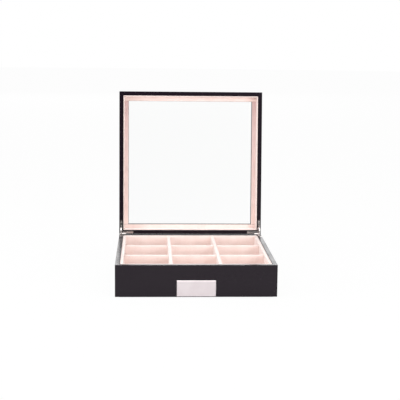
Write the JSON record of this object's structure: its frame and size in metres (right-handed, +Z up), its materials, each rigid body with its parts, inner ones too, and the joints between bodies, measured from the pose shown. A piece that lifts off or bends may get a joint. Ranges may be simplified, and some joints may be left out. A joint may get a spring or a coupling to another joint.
{
  "type": "tie box",
  "caption": "Shallow square black-lacquered tie box with suede-lined square compartments and a deep hinged lid that frames a glass pane.",
  "frame": {"origin": "middle of the underside of the felt pad, where the box stands", "axes": "+X to the right seen from the front, +Y to the back, +Z up"},
  "size_m": [0.29, 0.3545, 0.3481],
  "materials": {
    "black_lacquer": "satin black lacquer over board",
    "suede": "pale pink micro suede over board",
    "glass": "clear, polished",
    "plate_metal": "satin, bevelled",
    "hinge_metal": "polished nickel",
    "bottom_board": "black sealed board",
    "felt": "black felt"
  },
  "bodies": {
    "base": {"base_bottom_panel": "bottom_board", "base_felt_pad": "felt", "base_front_lining": "suede", "base_front_wall": "black_lacquer", "base_left_lining": "suede", "base_left_wall": "black_lacquer", "base_rear_lining": "suede", "base_rear_wall": "black_lacquer", "base_right_lining": "suede", "base_right_wall": "black_lacquer", "column_divider_1": "suede", "column_divider_2": "suede", "floor_lining": "suede", "front_plate": "plate_metal", "left_hinge_base_leaf": "hinge_metal", "left_hinge_base_screws": "hinge_metal", "left_hinge_pin": "hinge_metal", "right_hinge_base_leaf": "hinge_metal", "right_hinge_base_screws": "hinge_metal", "right_hinge_pin": "hinge_metal", "row_divider_1": "suede", "row_divider_2": "suede"},
    "lid": {"glass_pane": "glass", "left_hinge_lid_leaf": "hinge_metal", "left_hinge_lid_screws": "hinge_metal", "lid_frame_front_rail": "black_lacquer", "lid_frame_left_rail": "black_lacquer", "lid_frame_rear_rail": "black_lacquer", "lid_frame_right_rail": "black_lacquer", "lid_front_lining": "suede", "lid_front_retainer": "suede", "lid_front_wall": "black_lacquer", "lid_left_lining": "suede", "lid_left_retainer": "suede", "lid_left_wall": "black_lacquer", "lid_rear_lining": "suede", "lid_rear_retainer": "suede", "lid_rear_wall": "black_lacquer", "lid_right_lining": "suede", "lid_right_retainer": "suede", "lid_right_wall": "black_lacquer", "right_hinge_lid_leaf": "hinge_metal", "right_hinge_lid_screws": "hinge_metal"},
    "left_arm": {"left_support_arm": "hinge_metal"},
    "right_arm": {"right_support_arm": "hinge_metal"}
  },
  "joints": [
    {"name": "lid_hinge", "type": "hinge", "parent": "base", "child": "lid", "pos_m": [0, 0.145, 0.0592], "axis": [1, 0, 0], "range_deg": [0, 95]},
    {"name": "left_arm_slide", "type": "hinge", "parent": "base", "child": "left_arm", "pos_m": [-0.141, 0.145, 0.0592], "axis": [1, 0, 0], "range_deg": [0, 47.5]},
    {"name": "right_arm_slide", "type": "hinge", "parent": "base", "child": "right_arm", "pos_m": [0.141, 0.145, 0.0592], "axis": [1, 0, 0], "range_deg": [0, 47.5]}
  ],
  "couplings": [
    {"joint": "left_arm_slide", "follows": "lid_hinge", "ratio": 0.5},
    {"joint": "right_arm_slide", "follows": "lid_hinge", "ratio": 0.5}
  ]
}
